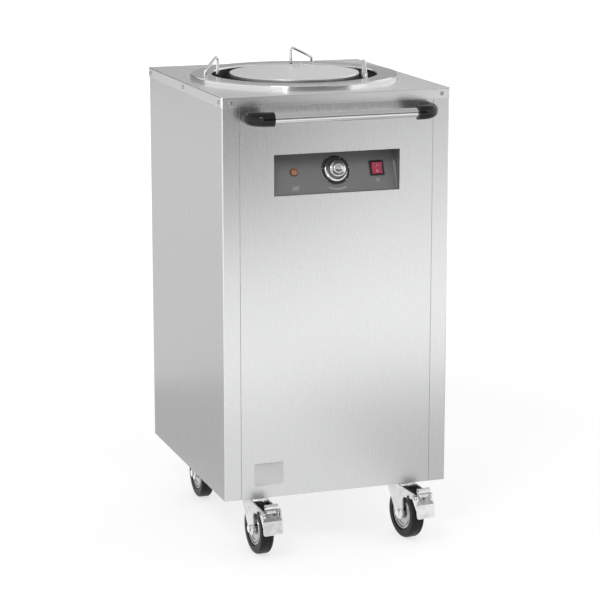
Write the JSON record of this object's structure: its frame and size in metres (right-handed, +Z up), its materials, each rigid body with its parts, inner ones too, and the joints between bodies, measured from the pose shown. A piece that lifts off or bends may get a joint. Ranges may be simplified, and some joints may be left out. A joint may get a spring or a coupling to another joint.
{
  "type": "plate warmer cabinet",
  "caption": "Mobile stainless plate warmer: heated sprung plate well with bent-wire guides in a box cabinet, recessed controls, tube handle and braked castors.",
  "frame": {"origin": "on the floor, at the middle of the bounding box, handle and gland included", "axes": "+Z up; -Y towards the handle and controls; +X to the right of someone facing the controls"},
  "size_m": [0.454, 0.581, 0.9245],
  "materials": {
    "brushed_stainless": "fine-brushed stainless sheet",
    "polished_steel": "mirror-polished stainless",
    "well_steel": "plain mill-finish stainless",
    "zinc_steel": "bright zinc-plated steel",
    "screw_steel": "bright stainless fasteners",
    "heater_sheath": "dull heat-toned metal sheath",
    "white_nylon": "natural white nylon",
    "grey_fascia": "satin dark grey",
    "copper": "bare copper tube",
    "black_dial": "satin black dial",
    "black_plastic": "matt black plastic",
    "black_handle": "gloss black moulded plastic",
    "amber_lens": "translucent amber",
    "red_rocker": "translucent red",
    "knob_metal": "turned and polished metal",
    "castor_steel": "bright zinc-plated pressed steel",
    "castor_bright": "bright plated steel",
    "castor_hub": "bright plated wheel centre",
    "black_rubber": "black rubber"
  },
  "bodies": {
    "cabinet": {"top_panel": "brushed_stainless", "left_side_panel": "brushed_stainless", "right_side_panel": "brushed_stainless", "front_panel": "brushed_stainless", "rear_panel": "brushed_stainless", "base_tray": "zinc_steel", "corner_posts": "zinc_steel", "panel_screws": "screw_steel", "well_ring": "polished_steel", "well_tube": "well_steel", "well_floor": "well_steel", "heater_element": "heater_sheath", "heater_clips": "zinc_steel", "guide_bushes": "white_nylon", "spring_hangers": "zinc_steel", "lift_springs": "zinc_steel", "control_fascia": "grey_fascia", "thermostat_body": "zinc_steel", "thermostat_capillary": "copper", "dial_plate": "black_dial", "lamp_body": "black_plastic", "lamp_lens": "amber_lens", "switch_housing": "black_plastic", "terminal_block": "white_nylon", "wiring_loom": "black_plastic", "cable_gland": "black_plastic", "handle_tube": "polished_steel", "handle_bracket_left": "black_handle", "handle_bracket_right": "black_handle", "handle_bolts": "zinc_steel", "castor_plates": "castor_steel", "castor_bolts": "screw_steel"},
    "carrier": {"carrier_disc": "polished_steel", "carrier_spider": "zinc_steel", "slot_sliders": "white_nylon"},
    "guide_left": {"guide_left": "polished_steel"},
    "guide_right": {"guide_right": "polished_steel"},
    "guide_back": {"guide_back": "polished_steel"},
    "knob": {"thermostat_knob": "knob_metal", "thermostat_shaft": "knob_metal"},
    "rocker": {"switch_rocker": "red_rocker"},
    "swivel_fl": {"castor_fl_fork": "castor_steel", "castor_fl_axle": "castor_bright"},
    "wheel_fl": {"castor_fl_hub": "castor_hub", "castor_fl_tyre": "black_rubber"},
    "pedal_fl": {"castor_fl_pedal": "castor_bright"},
    "swivel_fr": {"castor_fr_fork": "castor_steel", "castor_fr_axle": "castor_bright"},
    "wheel_fr": {"castor_fr_hub": "castor_hub", "castor_fr_tyre": "black_rubber"},
    "pedal_fr": {"castor_fr_pedal": "castor_bright"},
    "swivel_rl": {"castor_rl_fork": "castor_steel", "castor_rl_axle": "castor_bright"},
    "wheel_rl": {"castor_rl_hub": "castor_hub", "castor_rl_tyre": "black_rubber"},
    "swivel_rr": {"castor_rr_fork": "castor_steel", "castor_rr_axle": "castor_bright"},
    "wheel_rr": {"castor_rr_hub": "castor_hub", "castor_rr_tyre": "black_rubber"}
  },
  "joints": [
    {"name": "carrier_slide", "type": "slide", "parent": "cabinet", "child": "carrier", "axis": [0, 0, -1], "range_m": [0, 0.47], "stiffness_N_per_m": 620, "springref_m": -0.06, "deforming": ["lift_springs"]},
    {"name": "guide_left_swing", "type": "hinge", "parent": "cabinet", "child": "guide_left", "pos_m": [-0.18, 0.018, 0.882], "axis": [0, 0, 1], "range_deg": [-45, 9]},
    {"name": "guide_right_swing", "type": "hinge", "parent": "cabinet", "child": "guide_right", "pos_m": [0.09, -0.13789, 0.882], "axis": [0, 0, 1], "range_deg": [-9, 45]},
    {"name": "guide_back_swing", "type": "hinge", "parent": "cabinet", "child": "guide_back", "pos_m": [0.09, 0.17389, 0.882], "axis": [0, 0, 1], "range_deg": [-9, 45]},
    {"name": "knob_turn", "type": "hinge", "parent": "cabinet", "child": "knob", "pos_m": [0.005, -0.205, 0.7325], "axis": [0, -0.9191, 0.3939], "range_deg": [-270, 0]},
    {"name": "rocker_tilt", "type": "hinge", "parent": "cabinet", "child": "rocker", "pos_m": [0.087, -0.20224, 0.73132], "axis": [1, 0, 0], "range_deg": [-16, 0]},
    {"name": "swivel_fl_turn", "type": "hinge", "parent": "cabinet", "child": "swivel_fl", "pos_m": [-0.15, -0.172, 0.105], "axis": [0, 0, 1], "continuous": true},
    {"name": "wheel_fl_roll", "type": "hinge", "parent": "swivel_fl", "child": "wheel_fl", "pos_m": [-0.14817, -0.20695, 0.05], "axis": [0.9986, 0.0523, 0], "continuous": true},
    {"name": "pedal_fl_press", "type": "hinge", "parent": "swivel_fl", "child": "pedal_fl", "pos_m": [-0.14508, -0.26587, 0.0975], "axis": [0.9986, 0.0523, 0], "range_deg": [0, 17]},
    {"name": "swivel_fr_turn", "type": "hinge", "parent": "cabinet", "child": "swivel_fr", "pos_m": [0.15, -0.172, 0.105], "axis": [0, 0, 1], "continuous": true},
    {"name": "wheel_fr_roll", "type": "hinge", "parent": "swivel_fr", "child": "wheel_fr", "pos_m": [0.15487, -0.20666, 0.05], "axis": [0.9903, 0.1392, 0], "continuous": true},
    {"name": "pedal_fr_press", "type": "hinge", "parent": "swivel_fr", "child": "pedal_fr", "pos_m": [0.16308, -0.26509, 0.0975], "axis": [0.9903, 0.1392, 0], "range_deg": [0, 17]},
    {"name": "swivel_rl_turn", "type": "hinge", "parent": "cabinet", "child": "swivel_rl", "pos_m": [-0.15, 0.208, 0.105], "axis": [0, 0, 1], "continuous": true},
    {"name": "wheel_rl_roll", "type": "hinge", "parent": "swivel_rl", "child": "wheel_rl", "pos_m": [-0.15, 0.173, 0.05], "axis": [1, 0, 0], "continuous": true},
    {"name": "swivel_rr_turn", "type": "hinge", "parent": "cabinet", "child": "swivel_rr", "pos_m": [0.15, 0.208, 0.105], "axis": [0, 0, 1], "continuous": true},
    {"name": "wheel_rr_roll", "type": "hinge", "parent": "swivel_rr", "child": "wheel_rr", "pos_m": [0.15244, 0.17308, 0.05], "axis": [0.9976, 0.0698, 0], "continuous": true}
  ]
}
